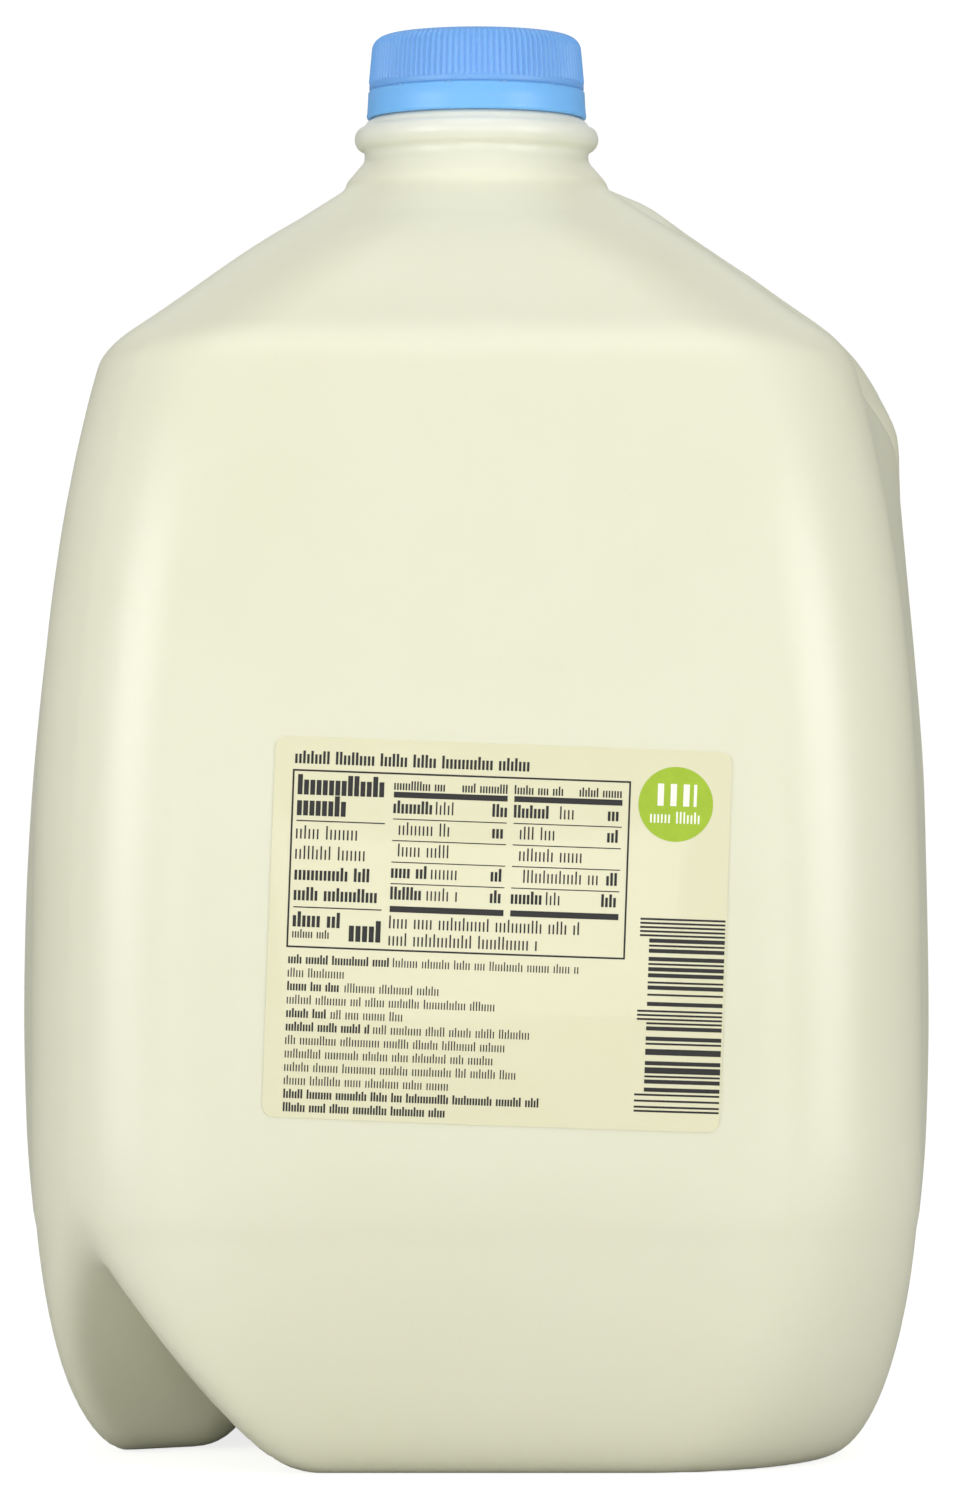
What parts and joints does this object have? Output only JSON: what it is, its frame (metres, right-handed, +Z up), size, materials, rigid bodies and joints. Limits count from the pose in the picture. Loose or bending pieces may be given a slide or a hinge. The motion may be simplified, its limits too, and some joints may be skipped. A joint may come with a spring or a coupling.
{
  "type": "plastic milk jug",
  "caption": "Square blow-moulded gallon milk jug with a hollow corner handle, filled into the neck, closed by a ribbed cap with a tamper band, with a front label.",
  "frame": {"origin": "middle of the base, on the surface that the jug stands on", "axes": "+Z up along the neck's axis, -Y out of the label's panel, handle on the corner between +X and +Y"},
  "size_m": [0.1576, 0.1578, 0.2445],
  "materials": {
    "jug_plastic": "translucent natural HDPE, satin",
    "milk": "white milk, opaque",
    "cap_plastic": "light blue moulded plastic, satin",
    "band_plastic": "light blue moulded plastic, satin",
    "label_film": "cream translucent label film, satin"
  },
  "bodies": {
    "root": {"jug": "jug_plastic", "milk": "milk", "cap": "cap_plastic", "tamper_band": "band_plastic", "label": "label_film"}
  },
  "joints": []
}
